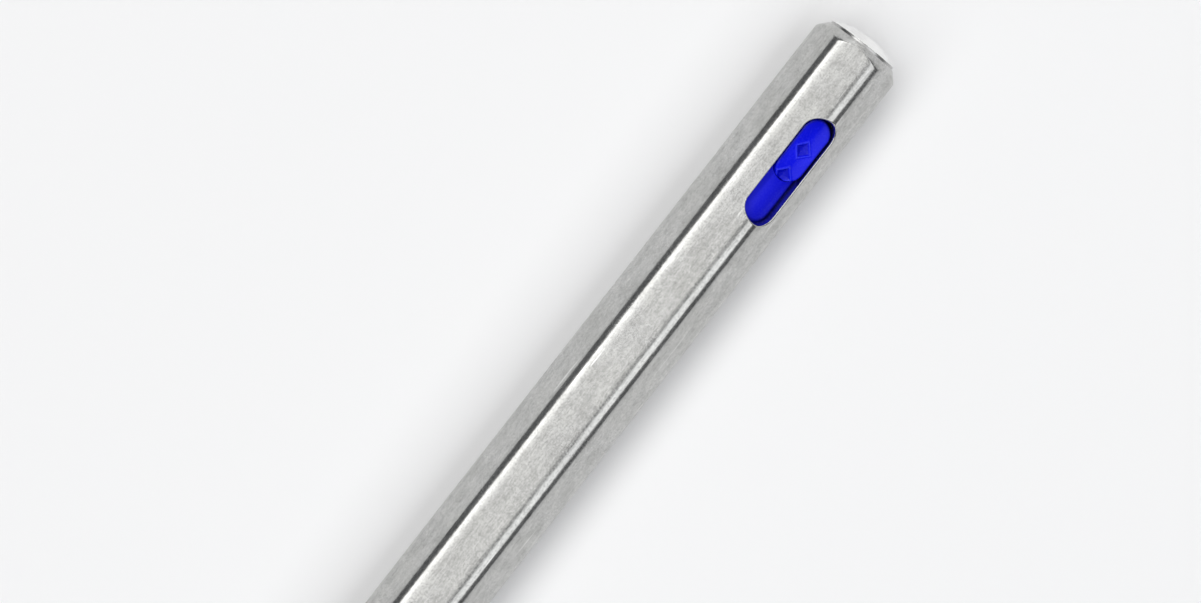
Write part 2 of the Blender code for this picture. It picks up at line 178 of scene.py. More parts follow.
def block(name, x, y, z, space=SLOTF, bevel=0.0):
    bm = bmesh.new()
    size = Vector((x[1] - x[0], y[1] - y[0], z[1] - z[0]))
    centre = Vector((sum(x) / 2, sum(y) / 2, sum(z) / 2))
    bmesh.ops.create_cube(bm, size=1.0, matrix=Matrix.Translation(centre) @ Matrix.Diagonal((*size, 1.0)))
    if bevel:
        bmesh.ops.bevel(bm, geom=bm.edges[:], offset=bevel, segments=3, profile=0.5, affect="EDGES")
    return obj_from_bm(bm, name, space, tools)


def stadium_points(half, z0, z1, arc=32, straight=1):
    """Outline of a slot shape in (y, z), anticlockwise, starting at the +Y side of the front round end."""
    pts = []
    for n in range(arc):
        a = math.pi * n / arc
        pts.append((half * math.cos(a), z1 - half + half * math.sin(a)))
    for n in range(straight):
        pts.append((-half, (z1 - half) + (z0 + half - z1 + half) * n / straight))
    for n in range(arc):
        a = math.pi + math.pi * n / arc
        pts.append((half * math.cos(a), z0 + half + half * math.sin(a)))
    for n in range(straight):
        pts.append((half, (z0 + half) + (z1 - half - z0 - half) * n / straight))
    return pts


def stadium(name, half, z0, z1, x0, x1, arc=32, straight=1, coll=None, space=SLOTF):
    bm = bmesh.new()
    ring = [bm.verts.new((x0, y, z)) for y, z in stadium_points(half, z0, z1, arc, straight)]
    base = bm.faces.new(ring)
    grown = bmesh.ops.extrude_face_region(bm, geom=[base])
    bmesh.ops.translate(bm, vec=(x1 - x0, 0, 0), verts=[g for g in grown["geom"] if isinstance(g, bmesh.types.BMVert)])
    return obj_from_bm(bm, name, space, coll or tools)


def apply_all(ob):
    """Bakes an object's modifiers into its mesh."""
    bpy.context.view_layer.update()
    dg = bpy.context.evaluated_depsgraph_get()
    me = bpy.data.meshes.new_from_object(ob.evaluated_get(dg))
    ob.modifiers.clear()
    old = ob.data
    ob.data = me
    if old.users == 0:
        bpy.data.meshes.remove(old)
    return ob


def cut(ob, other, operation="DIFFERENCE"):
    m = ob.modifiers.new("bool", "BOOLEAN")
    m.operation, m.object, m.solver = operation, other, "EXACT"
    apply_all(ob)
    bpy.data.objects.remove(other, do_unlink=True)
    return ob


def weighted(ob, angle=38):
    """Smooth shading whose normals follow the larger faces, so flats stay flat beside small edges."""
    shade(ob, angle)
    m = ob.modifiers.new("normals", "WEIGHTED_NORMAL")
    m.mode, m.weight, m.keep_sharp = "FACE_AREA", 50, True
    return apply_all(ob)


def edge_break(ob, width, angle=40, segments=2):
    """A small rounded break on every sharp edge."""
    m = ob.modifiers.new("edge", "BEVEL")
    m.width, m.segments, m.limit_method = width * MM, segments, "ANGLE"
    m.angle_limit = math.radians(angle)
    m.use_clamp_overlap = True
    m.harden_normals = False
    m.miter_outer = "MITER_ARC"
    apply_all(ob)
    return ob


def cleaned(ob, dist=0.002, smooth=38):
    bm = bmesh.new()
    bm.from_mesh(ob.data)
    bmesh.ops.remove_doubles(bm, verts=bm.verts, dist=dist * MM)
    bmesh.ops.dissolve_degenerate(bm, edges=bm.edges, dist=dist * MM * 0.5)
    bmesh.ops.recalc_face_normals(bm, faces=bm.faces)
    bm.to_mesh(ob.data)
    bm.free()
    shade(ob, smooth)
    return ob


# ------------------------------------------------------------------ node helpers
def new_material(name):
    m = bpy.data.materials.new(name)
    m.use_nodes = True
    nt = m.node_tree
    nt.nodes.clear()
    out = nt.nodes.new("ShaderNodeOutputMaterial")
    bsdf = nt.nodes.new("ShaderNodeBsdfPrincipled")
    nt.links.new(bsdf.outputs[0], out.inputs[0])
    return m, nt, bsdf


def mapped(nt, scale=(1, 1, 1), offset=(0, 0, 0)):
    """Object coordinates in metres, scaled."""
    tc = nt.nodes.new("ShaderNodeTexCoord")
    mp = nt.nodes.new("ShaderNodeMapping")
    mp.inputs["Scale"].default_value = scale
    mp.inputs["Location"].default_value = offset
    nt.links.new(tc.outputs["Object"], mp.inputs["Vector"])
    return mp.outputs[0]


def noise(nt, vec, scale, detail=3.0, rough=0.55, distortion=0.0):
    n = nt.nodes.new("ShaderNodeTexNoise")
    n.inputs["Scale"].default_value = scale
    n.inputs["Detail"].default_value = detail
    n.inputs["Roughness"].default_value = rough
    n.inputs["Distortion"].default_value = distortion
    nt.links.new(vec, n.inputs["Vector"])
    return n.outputs["Fac"]


def ramp(nt, fac, stops):
    r = nt.nodes.new("ShaderNodeValToRGB")
    el = r.color_ramp.elements
    while len(el) < len(stops):
        el.new(0.5)
    for e, (pos, col) in zip(el, stops):
        e.position = pos
        e.color = (*col, 1) if len(col) == 3 else col
    nt.links.new(fac, r.inputs["Fac"])
    return r.outputs["Color"]


def remap(nt, fac, a0, a1, b0, b1):
    r = nt.nodes.new("ShaderNodeMapRange")
    for k, v in (("From Min", a0), ("From Max", a1), ("To Min", b0), ("To Max", b1)):
        r.inputs[k].default_value = v
    nt.links.new(fac, r.inputs["Value"])
    return r.outputs["Result"]


def math_node(nt, op, a, b=None):
    m = nt.nodes.new("ShaderNodeMath")
    m.operation = op
    for i, v in enumerate((a, b)):
        if v is None:
            continue
        if isinstance(v, (int, float)):
            m.inputs[i].default_value = v
        else:
            nt.links.new(v, m.inputs[i])
    return m.outputs[0]


def mix_colour(nt, fac, a, b, blend="MIX"):
    m = nt.nodes.new("ShaderNodeMix")
    m.data_type = "RGBA"
    m.blend_type = blend
    if isinstance(fac, (int, float)):
        m.inputs["Factor"].default_value = fac
    else:
        nt.links.new(fac, m.inputs["Factor"])
    for key, v in (("A", a), ("B", b)):
        sock = [s for s in m.inputs if s.name == key and s.type == "RGBA"][0]
        if isinstance(v, tuple):
            sock.default_value = (*v, 1)
        else:
            nt.links.new(v, sock)
    return [s for s in m.outputs if s.type == "RGBA"][0]


def bump(nt, height, strength, distance, normal=None):
    b = nt.nodes.new("ShaderNodeBump")
    b.inputs["Strength"].default_value = strength
    b.inputs["Distance"].default_value = distance
    nt.links.new(height, b.inputs["Height"])
    if normal is not None:
        nt.links.new(normal, b.inputs["Normal"])
    return b.outputs["Normal"]


def slot_distance(nt, z0, z1):
    """Distance in metres, across the slot's face, from the straight line between two stations."""
    tc = nt.nodes.new("ShaderNodeTexCoord")
    sep = nt.nodes.new("ShaderNodeSeparateXYZ")
    nt.links.new(tc.outputs["Object"], sep.inputs[0])
    a = SLOT_ANGLE
    across = math_node(nt, "ADD", math_node(nt, "MULTIPLY", sep.outputs["Y"], -math.cos(a)),
                       math_node(nt, "MULTIPLY", math_node(nt, "SUBTRACT", sep.outputs["Z"], AXIS_Z * MM), math.sin(a)))
    mid, half = (REAR_X + (z0 + z1) / 2) * MM, (z1 - z0) / 2 * MM
    along = math_node(nt, "ABSOLUTE", math_node(nt, "SUBTRACT", sep.outputs["X"], mid))
    along = math_node(nt, "MAXIMUM", math_node(nt, "SUBTRACT", along, half), 0.0)
    return math_node(nt, "SQRT", math_node(nt, "ADD", math_node(nt, "MULTIPLY", along, along),
                                           math_node(nt, "MULTIPLY", across, across)))


def edge_wear(nt, sharp=0.55, wide=0.62):
    """1 on worn convex edges, 0 elsewhere."""
    g = nt.nodes.new("ShaderNodeNewGeometry")
    return remap(nt, g.outputs["Pointiness"], sharp, wide, 0, 1)


# ------------------------------------------------------------------ materials
def aluminium(name, base=(0.50, 0.50, 0.492), rough=(0.195, 0.26), grain=0.46, along=True, scratches=True, wear=True):
    """Satin anodised aluminium: fine blasted grain, faint drawing lines along the pen, light handling marks."""
    m, nt, b = new_material(name)
    b.inputs["Metallic"].default_value = 1.0
    fine = noise(nt, mapped(nt, (1, 1, 1)), 3700, 2.0, 0.62)
    mid = noise(nt, mapped(nt, (1, 1, 1), (0.013, 0.004, 0)), 1500, 3.0, 0.6)
    cloud = noise(nt, mapped(nt, (1, 1, 1), (0.3, 0.1, 0)), 130, 4.0, 0.6)
    stretch = (0.05, 1, 1) if along else (1, 0.12, 0.12)
    lines = noise(nt, mapped(nt, stretch), 5200, 3.0, 0.7)
    shade_fac = math_node(nt, "ADD", math_node(nt, "MULTIPLY", fine, 0.45),
                          math_node(nt, "ADD", math_node(nt, "MULTIPLY", mid, 0.25), math_node(nt, "MULTIPLY", lines, 0.30)))
    dark = tuple(c * 0.76 for c in base)
    light = tuple(min(1.0, c * 1.17) for c in base)
    col = ramp(nt, shade_fac, [(0.38, dark), (0.50, base), (0.62, light)])
    smudge = ramp(nt, cloud, [(0.35, (0.95, 0.95, 0.94)), (0.65, (1.0, 1.0, 1.0))])
    col = mix_colour(nt, 1.0, col, smudge, "MULTIPLY")
    mottle = noise(nt, mapped(nt, (0.6, 1, 1), (0.15, 0.33, 0.2)), 620, 3.0, 0.62)
    col = mix_colour(nt, 1.0, col, ramp(nt, mottle, [(0.36, (0.90, 0.90, 0.895)), (0.50, (1.0, 1.0, 1.0)), (0.64, (1.07, 1.07, 1.065))]), "MULTIPLY")
    r = math_node(nt, "ADD", remap(nt, cloud, 0.3, 0.7, rough[0], rough[1]), remap(nt, fine, 0.3, 0.7, -0.04, 0.04))
    if scratches:
        # long, thin, sparse marks from handling
        sc = noise(nt, mapped(nt, (0.035, 1.0, 1.0), (0.7, 0.2, 0.1)), 2600, 1.0, 0.5, 0.4)
        mark = remap(nt, sc, 0.705, 0.74, 0, 1)
        mask = remap(nt, noise(nt, mapped(nt, (1, 1, 1), (0.9, 0, 0)), 95, 2.0), 0.50, 0.60, 0, 1)
        mark = math_node(nt, "MULTIPLY", mark, mask)
        col = mix_colour(nt, math_node(nt, "MULTIPLY", mark, 0.5), col, (0.92, 0.92, 0.91))
        r = math_node(nt, "SUBTRACT", r, math_node(nt, "MULTIPLY", mark, 0.08))
    if wear:
        w = math_node(nt, "MULTIPLY", edge_wear(nt, 0.53, 0.60), remap(nt, mid, 0.35, 0.60, 0.2, 1.0))
        col = mix_colour(nt, math_node(nt, "MULTIPLY", w, 0.45), col, (0.93, 0.93, 0.92))
        r = math_node(nt, "SUBTRACT", r, math_node(nt, "MULTIPLY", w, 0.08))
    nt.links.new(col, b.inputs["Base Color"])
    nt.links.new(r, b.inputs["Roughness"])
    n1 = bump(nt, fine, grain, 0.000010)
    n2 = bump(nt, lines, grain * 0.5, 0.000008, n1)
    nt.links.new(n2, b.inputs["Normal"])
    return m


def turned_metal(name, base, rough=0.18, ridges=26000, ridge_strength=0.12, grime=0.25, tint=None):
    """Lathe-turned metal: fine rings round the pen's axis, slight tarnish, bright edges."""
    m, nt, b = new_material(name)
    b.inputs["Metallic"].default_value = 1.0
    rings = noise(nt, mapped(nt, (1, 0.02, 0.02)), ridges / 4, 2.0, 0.7)
    cloud = noise(nt, mapped(nt, (1, 1, 1), (0.2, 0.4, 0.1)), 260, 4.0, 0.6)
    fine = noise(nt, mapped(nt, (1, 1, 1)), 6000, 2.0, 0.6)
    dark = tint or tuple(c * 0.80 for c in base)
    col = ramp(nt, math_node(nt, "ADD", math_node(nt, "MULTIPLY", cloud, 0.7), math_node(nt, "MULTIPLY", rings, 0.3)),
               [(0.34, dark), (0.52, base), (0.72, tuple(min(1, c * 1.07) for c in base))])
    r = math_node(nt, "ADD", remap(nt, cloud, 0.3, 0.7, rough * 0.8, rough * 1.35), remap(nt, rings, 0.3, 0.7, -0.03, 0.04))
    w = edge_wear(nt, 0.54, 0.62)
    col = mix_colour(nt, math_node(nt, "MULTIPLY", w, 0.35), col, tuple(min(1, c * 1.15) for c in base))
    nt.links.new(col, b.inputs["Base Color"])
    nt.links.new(r, b.inputs["Roughness"])
    n1 = bump(nt, rings, ridge_strength, 0.000008)
    nt.links.new(bump(nt, fine, 0.08, 0.000005, n1), b.inputs["Normal"])
    return m


def moulded(name, base, rough=0.30, texture=0.18, vary=0.10, coat=0.0, sub=0.0, spec=0.5, grain_scale=3800, rim=None, hollow_shade_stations=()):
    """Injection-moulded plastic: fine spark texture, faint flow streaks along the pen, slightly polished edges."""
    m, nt, b = new_material(name)
    grain = noise(nt, mapped(nt, (1, 1, 1)), grain_scale, 3.0, 0.6)
    flow = noise(nt, mapped(nt, (0.25, 1, 1), (0.1, 0, 0)), 420, 3.0, 0.55, 0.6)
    cloud = noise(nt, mapped(nt, (1, 1, 1), (0.5, 0.2, 0)), 210, 3.0)
    lo = tuple(c * (1 - vary) for c in base)
    hi = tuple(min(1.0, c * (1 + vary) + 0.004) for c in base)
    col = ramp(nt, math_node(nt, "ADD", math_node(nt, "MULTIPLY", flow, 0.6), math_node(nt, "MULTIPLY", cloud, 0.4)),
               [(0.36, lo), (0.50, base), (0.66, hi)])
    w = edge_wear(nt, 0.53, 0.62)
    col = mix_colour(nt, math_node(nt, "MULTIPLY", w, 0.28), col, tuple(min(1, c * 1.25 + 0.03) for c in base))
    r = math_node(nt, "ADD", remap(nt, grain, 0.3, 0.7, rough - 0.05, rough + 0.06), remap(nt, cloud, 0.3, 0.7, -0.04, 0.05))
    r = math_node(nt, "SUBTRACT", r, math_node(nt, "MULTIPLY", w, 0.06))
    for zc in hollow_shade_stations:
        tc = nt.nodes.new("ShaderNodeTexCoord")
        sep = nt.nodes.new("ShaderNodeSeparateXYZ")
        nt.links.new(tc.outputs["Object"], sep.inputs[0])
        across = math_node(nt, "ADD", math_node(nt, "MULTIPLY", sep.outputs["Y"], -math.cos(SLOT_ANGLE)),
                           math_node(nt, "MULTIPLY", math_node(nt, "SUBTRACT", sep.outputs["Z"], AXIS_Z * MM), math.sin(SLOT_ANGLE)))
        along = math_node(nt, "SUBTRACT", sep.outputs["X"], (REAR_X + zc) * MM)
        u = math_node(nt, "ADD", math_node(nt, "MULTIPLY", math_node(nt, "ABSOLUTE", along), 1 / (1.12 * MM)),
                      math_node(nt, "MULTIPLY", math_node(nt, "ABSOLUTE", across), 1 / (1.15 * MM)))
        u = math_node(nt, "ADD", u, remap(nt, grain, 0.3, 0.7, -0.04, 0.04))
        # painted shade darkens each hollow, and a painted highlight brightens the raised ring round it
        col = mix_colour(nt, remap(nt, u, 0.96, 0.78, 0, 0.5), col, tuple(c * 0.40 for c in base))
        # painted highlight: a brighter blue along the raised ring round each hollow
        border_highlight = remap(nt, math_node(nt, "ABSOLUTE", math_node(nt, "SUBTRACT", u, 1.05)), 0.02, 0.13, 0.22, 0.0)
        col = mix_colour(nt, border_highlight, col, (0.06, 0.10, 0.95))
    if rim:
        # painted shade: the blue is darkened towards the slot's edges, where the barrel's edge shades the part
        z0, z1, start, full, share = rim
        d = slot_distance(nt, z0, z1)
        d = math_node(nt, "ADD", d, remap(nt, grain, 0.3, 0.7, -0.00003, 0.00003))
        col = mix_colour(nt, remap(nt, d, start * MM, full * MM, 0, share), col, tuple(c * 0.22 for c in base))
    nt.links.new(col, b.inputs["Base Color"])
    nt.links.new(r, b.inputs["Roughness"])
    b.inputs["IOR"].default_value = 1.5
    b.inputs["Specular IOR Level"].default_value = spec
    if coat:
        b.inputs["Coat Weight"].default_value = coat
        b.inputs["Coat Roughness"].default_value = 0.15
    if sub:
        b.inputs["Subsurface Weight"].default_value = sub
        b.inputs["Subsurface Radius"].default_value = (0.3, 0.3, 0.5)
        b.inputs["Subsurface Scale"].default_value = 0.0006
    n1 = bump(nt, grain, texture, 0.000008)
    nt.links.new(bump(nt, flow, texture * 0.4, 0.00002, n1), b.inputs["Normal"])
    return m


def rubber(name, base=(0.035, 0.035, 0.038)):
    m, nt, b = new_material(name)
    grain = noise(nt, mapped(nt), 5200, 4.0, 0.7)
    cloud = noise(nt, mapped(nt, (1, 1, 1), (0.4, 0, 0)), 350, 3.0)
    dust = remap(nt, noise(nt, mapped(nt, (1, 1, 1), (0.1, 0.3, 0)), 1900, 2.0), 0.60, 0.72, 0, 0.35)
    col = ramp(nt, cloud, [(0.3, tuple(c * 0.75 for c in base)), (0.7, tuple(c * 1.3 for c in base))])
    col = mix_colour(nt, dust, col, (0.16, 0.16, 0.155))
    nt.links.new(col, b.inputs["Base Color"])
    nt.links.new(remap(nt, grain, 0.3, 0.7, 0.55, 0.82), b.inputs["Roughness"])
    nt.links.new(bump(nt, grain, 0.35, 0.00001), b.inputs["Normal"])
    return m


def wet(name, base, alpha=1.0):
    """Ink or grease: smooth, with slow streaks in the colour."""
    m, nt, b = new_material(name)
    cloud = noise(nt, mapped(nt, (0.2, 1, 1)), 500, 3.0, 0.5, 0.8)
    col = ramp(nt, cloud, [(0.3, tuple(c * 0.7 for c in base)), (0.7, tuple(min(1, c * 1.3) for c in base))])
    nt.links.new(col, b.inputs["Base Color"])
    nt.links.new(remap(nt, cloud, 0.3, 0.7, 0.08, 0.18), b.inputs["Roughness"])
    nt.links.new(bump(nt, cloud, 0.1, 0.00002), b.inputs["Normal"])
    return m


MAT = {
    "barrel": aluminium("satin_aluminium_barrel"),
    "nose": aluminium("turned_aluminium_nose", base=(0.54, 0.54, 0.53), rough=(0.20, 0.30), along=False),
    "cap": turned_metal("polished_aluminium_cap", (0.90, 0.90, 0.89), 0.15),
    "ring": turned_metal("turned_neck_metal", (0.46, 0.46, 0.455), 0.26),
    "washer": rubber("black_washer", (0.04, 0.04, 0.043)),
    # the slider and the button get painted shade towards the slot's edges; the button also gets painted shade in its
    # diamond pockets and a painted highlight round them
    "slider": moulded("blue_slider_plastic", (0.001, 0.003, 0.60), 0.34, spec=0.08, rim=(11.20, 21.95, 1.62, 2.06, 0.9)),
    "button": moulded("blue_button_plastic", (0.001, 0.004, 0.74), 0.24, texture=0.14, spec=0.20, rim=(11.35, 19.0, 1.62, 2.00, 0.9), hollow_shade_stations=(13.60, 17.35)),
    "sleeve": moulded("white_acetal", (0.80, 0.80, 0.77), 0.42, vary=0.04),
    "seat": moulded("natural_acetal", (0.76, 0.75, 0.71), 0.45, vary=0.05),
    "charcoal": moulded("charcoal_tube", (0.022, 0.023, 0.026), 0.36, texture=0.10, vary=0.2),
    "holder": moulded("blue_holder_plastic", (0.012, 0.008, 0.46), 0.26, texture=0.08),
    "spring": turned_metal("drawn_spring_wire", (0.62, 0.62, 0.63), 0.22, ridge_strength=0.05),
    "leaf": turned_metal("spring_strip", (0.56, 0.56, 0.57), 0.28),
    "pin": turned_metal("ground_pin", (0.62, 0.62, 0.63), 0.20),
    "brass": turned_metal("turned_brass", (0.80, 0.56, 0.24), 0.17, tint=(0.52, 0.32, 0.11)),
    "insert": turned_metal("insert_brass", (0.76, 0.55, 0.26), 0.30, tint=(0.50, 0.33, 0.13)),
    "ball": turned_metal("lapped_carbide", (0.24, 0.24, 0.25), 0.10, ridge_strength=0.02),
    "buffer": rubber("buffer_rubber"),
    "grommet": rubber("grommet_rubber"),
    "ink": wet("blue_ink", (0.004, 0.008, 0.10)),
    "grease": wet("grease_plug", (0.55, 0.52, 0.38)),
}


def dress(ob, mat, body, *replaced, slot=None):
    ob.data.materials.clear()
    ob.data.materials.append(MAT[mat])
    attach(ob, body)
    if replaced:
        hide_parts(*replaced)
    return ob


# ------------------------------------------------------------------ barrel
def envelope(z):
    """The turned ends' radius at a station."""
    rear = [(-0.42, 4.70), (-0.36, 4.785), (-0.22, 4.925), (0.0, 5.135), (0.20, 5.33), (0.34, 5.455), (0.52, 5.60),
            (0.74, 5.755), (0.98, 5.89), (1.32, 6.05), (1.70, 6.19), (3.0, 6.60), (6.0, 7.2)]
    L = BARREL_LEN
    front = [(L - 6.0, 7.2), (L - 4.20, 6.60), (L - 2.00, 5.95), (L - 1.10, 5.62), (L - 0.45, 5.30), (L - 0.10, 5.05), (L, 4.86)]
    table = rear if z < L / 2 else front
    zs, rs = zip(*table)
    return float(np.interp(z, zs, rs))


def hex_outline(spread=3.5, per_corner=22, per_flat=10):
    """Hexagon whose corners turn gently into the flats, a flat square to local +X, as (x, y) points.

    The corner's curvature follows a raised cosine of length `spread` along the outline and turns
    the normal through 60 degrees in all."""
    def turn(t):
        # normal's angle at a share t of the corner's length
        return math.radians(60) * (t - math.sin(2 * math.pi * t) / (2 * math.pi))

    steps = 400
    ds = spread / steps
    x = y = 0.0
    for n in range(steps // 2):
        a = turn((n + 0.5) / steps)
        x, y = x - math.sin(a) * ds, y + math.cos(a) * ds
    # the corner's middle lies on the 30 degree ray: (APOTHEM + x) tan 30 = flat + y
    flat = (APOTHEM + x) * math.tan(math.radians(30)) - y
    half = [(APOTHEM, flat * n / per_flat) for n in range(per_flat)]
    x, y, k = APOTHEM, flat, 0
    marks = {int(round(steps * i / per_corner)) for i in range(per_corner + 1)}
    corner = []
    for n in range(steps + 1):
        if n in marks:
            corner.append((x, y))
        a = turn((n + 0.5) / steps)
        x, y = x - math.sin(a) * ds, y + math.cos(a) * ds
    pts = []
    for k in range(6):
        c, s = math.cos(math.radians(60 * k)), math.sin(math.radians(60 * k))
        back = [(px, -py) for px, py in half[1:][::-1]]
        for px, py in back + half + corner[:-1]:
            pts.append((px * c - py * s, px * s + py * c))
    # the far side of the last corner joins the first flat's near end
    return pts


def make_barrel():
    outline = hex_outline()
    L = BARREL_LEN
    stations = [-0.42, -0.39, -0.35, -0.30, -0.24, -0.16, -0.08, 0.0, 0.05, 0.10, 0.15, 0.20, 0.26, 0.32, 0.40, 0.50,
                0.60, 0.70, 0.82, 0.94, 1.06, 1.2, 1.4, 1.7, 2.2, 3.2, 6.0]
    middle = [8.0, 26.0, 45, 65, 85, 105]
    front = [L - d for d in (6.0, 4.4, 3.6, 3.0, 2.6, 2.3, 2.05, 1.85, 1.65, 1.45, 1.30, 1.15, 1.0, 0.85, 0.72, 0.60, 0.50, 0.42, 0.34, 0.26, 0.18, 0.10, 0.05, 0.0)]
    bm = bmesh.new()
    rings = []
    for z in stations + middle + front:
        e = envelope(z)
        ring = []
        for x, y in outline:
            r = math.hypot(x, y)
            # softened minimum, so the turned end runs into the flats with a tiny radius
            k = 0.035
            h = max(k - abs(r - e), 0.0) / k
            rad = min(r, e) - h * h * k * 0.25
            ring.append(bm.verts.new((x * rad / r, y * rad / r, z)))
        rings.append(ring)
    n = len(outline)
    for a, b in zip(rings, rings[1:]):
        for k in range(n):
            bm.faces.new((a[k], a[(k + 1) % n], b[(k + 1) % n], b[k]))
    # the bore, with a small lead-in at both ends
    bore = []
    for z, r in ((-REAR_LIP, BORE_R + 0.12), (-REAR_LIP + 0.12, BORE_R), (8.0, BORE_R), (26.0, BORE_R), (45.0, BORE_R), (85.0, BORE_R), (L - 0.12, BORE_R), (L, BORE_R + 0.12)):
        bore.append([bm.verts.new((r * x / math.hypot(x, y), r * y / math.hypot(x, y), z)) for x, y in outline])
    for a, b in zip(bore, bore[1:]):
        for k in range(n):
            bm.faces.new((a[k], b[k], b[(k + 1) % n], a[(k + 1) % n]))
    for outer, inner in ((rings[0], bore[0]), (bore[-1], rings[-1])):
        for k in range(n):
            bm.faces.new((outer[k], inner[k], inner[(k + 1) % n], outer[(k + 1) % n]))
    ob = obj_from_bm(bm, "barrel_shell")
    cut(ob, slot_form(outline))
    cleaned(ob, 0.0004)
    shade(ob, 34)
    prism_normals(ob, outline, 5.9, L - 5.9)
    return ob


def prism_normals(ob, outline, z0, z1):
    """Gives the six-sided length of the tube the normals of its own outline, also beside the slot."""
    pts = np.array(outline)
    edge = np.roll(pts, -1, axis=0) - pts
    length = np.linalg.norm(edge, axis=1)
    out = np.stack([edge[:, 1], -edge[:, 0]], axis=1) / length[:, None]
    at = out + np.roll(out, 1, axis=0)
    at /= np.linalg.norm(at, axis=1)[:, None]
    me = ob.data
    back = PEN.inverted()
    turn = PEN.to_3x3()
    local = [back @ v.co for v in me.vertices]
    found = {}

    def on_outline(i):
        if i not in found:
            q = np.array(local[i][:2])
            t = np.clip(((q - pts) * edge).sum(axis=1) / length ** 2, 0, 1)
            gap = np.linalg.norm(pts + edge * t[:, None] - q, axis=1)
            k = int(gap.argmin())
            n = at[k] * (1 - t[k]) + at[(k + 1) % len(pts)] * t[k]
            found[i] = (float(gap[k]), (turn @ Vector((n[0], n[1], 0))).normalized())
        return found[i]

    normals = [Vector(c.vector) for c in me.corner_normals]
    for poly in me.polygons:
        zs = [local[i].z for i in poly.vertices]
        if min(zs) < z0 or max(zs) > z1 or abs(poly.normal.x) > 0.02:
            continue
        hits = [on_outline(i) for i in poly.vertices]
        if max(g for g, _ in hits) > 0.004 or poly.normal.dot(hits[0][1]) < 0.9:
            continue
        for loop, (_, n) in zip(poly.loop_indices, hits):
            normals[loop] = n
    me.normals_split_custom_set(normals)


def slot_form(outline, fillet_r=0.27):
    """The slot's milling form: a round-ended prism whose upper rim flares out along the barrel's
    own surface, which leaves the slot's edge broken by a fillet."""
    # the barrel's surface over the slot, as height against distance from the slot's middle plane
    c, s = math.cos(-SLOT_ANGLE), math.sin(-SLOT_ANGLE)
    surf = sorted((-x * s + y * c, x * c + y * s) for x, y in outline if x * c + y * s > 3.5)
    ys, xs = zip(*surf)

    def height(y):
        return float(np.interp(y, ys, xs))

    arc_n, straight = 56, 40
    levels = [(0.0, -9.0)]
    for k in range(0, 10):
        a = math.radians(78 * k / 9)
        levels.append((fillet_r * (1 - math.cos(a)), -fillet_r * (1 - math.sin(a))))
    e, d = levels[-1]
    a = math.radians(78)
    levels.append((e + 0.30 * math.sin(a), d + 0.30 * math.cos(a)))
    levels.append((e + 0.30 * math.sin(a), 3.0))
    bm = bmesh.new()
    rings = []
    for e, d in levels:
        ring = []
        for y, z in stadium_points(SLOT_HALF + 0.04 + e, SLOT_START + 0.03 - e, SLOT_END - 0.03 + e, arc_n, straight):
            y += 0.07
            x = 1.5 if d < -5 else (8.0 if d > 2 else height(y) + d)
            ring.append(bm.verts.new((x, y, z)))
        rings.append(ring)
    n = len(rings[0])
    for p, q in zip(rings, rings[1:]):
        for k in range(n):
            bm.faces.new((p[k], p[(k + 1) % n], q[(k + 1) % n], q[k]))
    bm.faces.new(rings[0][::-1])
    bm.faces.new(rings[-1])
    return obj_from_bm(bm, "slot_form", SLOTF, tools)


barrel = make_barrel()
dress(barrel, "barrel", "barrel", "barrel", slot="barrel_aluminium")

# ------------------------------------------------------------------ rear end
cap_profile = [(0, 1.90), (3.85, 1.90), (4.03, 1.72), (4.03, -0.72), (4.57, -0.72), (4.50, -0.79), (4.20, -0.965), (3.85, -1.14),
               (3.40, -1.335), (2.80, -1.55), (2.10, -1.73), (1.20, -1.845), (0.50, -CAP_H), (0, -CAP_H)]
cap = turned("end_cap", fillet(cap_profile, {3: 0.05, 4: 0.03, 5: 0.25, 6: 1.5, 7: 2.5, 8: 2.5, 9: 2.5, 10: 3.0, 11: 3.0, 12: 3.0}, False, 60), 160, closed=False)
dress(cap, "cap", "barrel", "rear_cap", slot="cap_metal")
ring = turned("end_ring", fillet([(4.55, -0.42), (4.55, -0.71), (4.08, -0.71), (4.08, -0.42)], 0.03, True, 4), 128)
dress(ring, "ring", "barrel", "cap_ring", slot="ring_dark")
buffer = turned("stop_buffer", fillet([(0, 2.36), (3.30, 2.36), (3.30, 1.95), (0, 1.95)], 0.12, False), 64, closed=False)
dress(buffer, "buffer", "barrel", "slider_buffer", slot="buffer_rubber")

# ------------------------------------------------------------------ guide sleeve and spring seat
sleeve = turned("guide_liner", [(4.05, 36.0 - 0.2), (4.05, 2.15), (3.95, 2.0), (3.60, 2.0), (3.55, 2.08), (3.55, 35.9), (3.62, 36.0), (3.88, 36.0)], 96, space=SLOTF)
cut(sleeve, block("liner_slot_tool", (1.0, 6.0), (-2.40, 2.40), (1.0, 31.3)))
cleaned(sleeve)
edge_break(sleeve, 0.05)
cleaned(sleeve, 0.0005)
dress(sleeve, "sleeve", "barrel", "guide_sleeve", slot="sleeve_white")
seat = turned("spring_bush", fillet([(4.05, 52.0), (4.05, 49.05), (1.75, 49.05), (1.75, 52.0)], 0.15, True), 96)
dress(seat, "seat", "barrel", "spring_seat", slot="seat_plastic")
insert = turned("thread_ring", fillet([(4.05, 121.9), (4.05, 114.0), (3.55, 114.0), (3.55, 121.9)], 0.08, True), 96)
dress(insert, "insert", "barrel", "thread_insert", slot="insert_brass")

